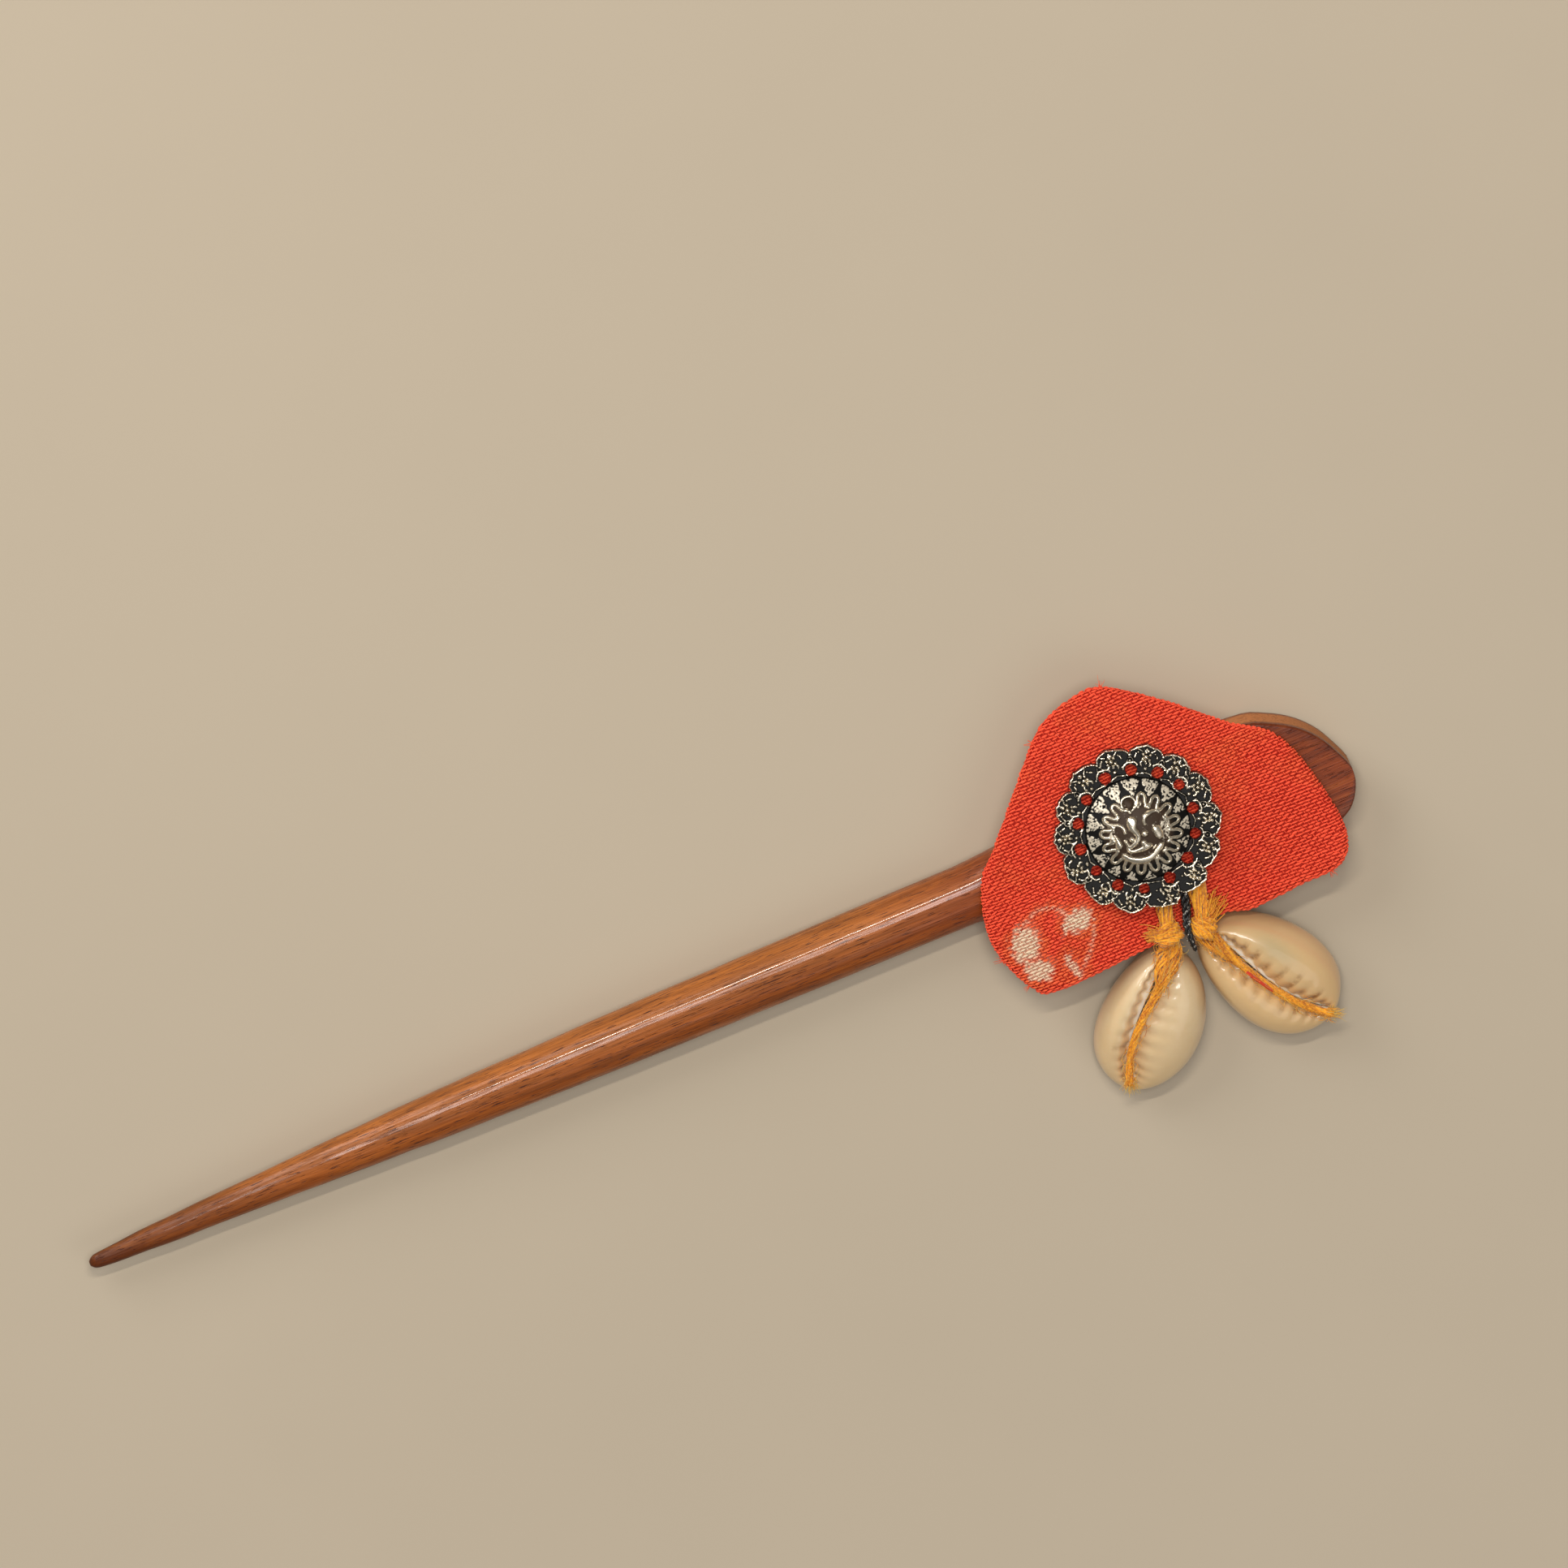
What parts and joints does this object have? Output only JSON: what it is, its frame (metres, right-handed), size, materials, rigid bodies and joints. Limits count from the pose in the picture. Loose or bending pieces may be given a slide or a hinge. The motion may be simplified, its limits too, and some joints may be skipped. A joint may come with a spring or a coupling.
{
  "type": "hair stick",
  "caption": "Wooden hair stick: a tapered shaft and a flat paddle head that carries a red cloth patch, a pierced metal medallion and cowrie shells on orange yarn.",
  "frame": {"origin": "middle of the bounding box's floor, on the surface that the flat back of the head lies on", "axes": "+X along the stick from its tip to its head, +Y across it towards the upper edge of the cloth, +Z out of the ornament's face"},
  "size_m": [0.18, 0.0555, 0.0147],
  "materials": {
    "wood": "oiled brown hardwood with fine dark grain, satin",
    "red_cloth": "red-orange hopsack cotton, two plies with soft turned edges",
    "medallion": "cast silver-coloured alloy, oxidised black in its recesses",
    "shell": "natural cowrie shell, cream to beige, glossy, brown between its teeth",
    "yarn": "loosely twisted orange and yellow yarn",
    "cord": "black waxed cord"
  },
  "bodies": {
    "root": {"stick": "wood", "cloth_patch": "red_cloth", "medallion": "medallion", "left_cowrie": "shell", "right_cowrie": "shell", "left_yarn": "yarn", "right_yarn": "yarn", "black_cord": "cord"}
  },
  "joints": []
}
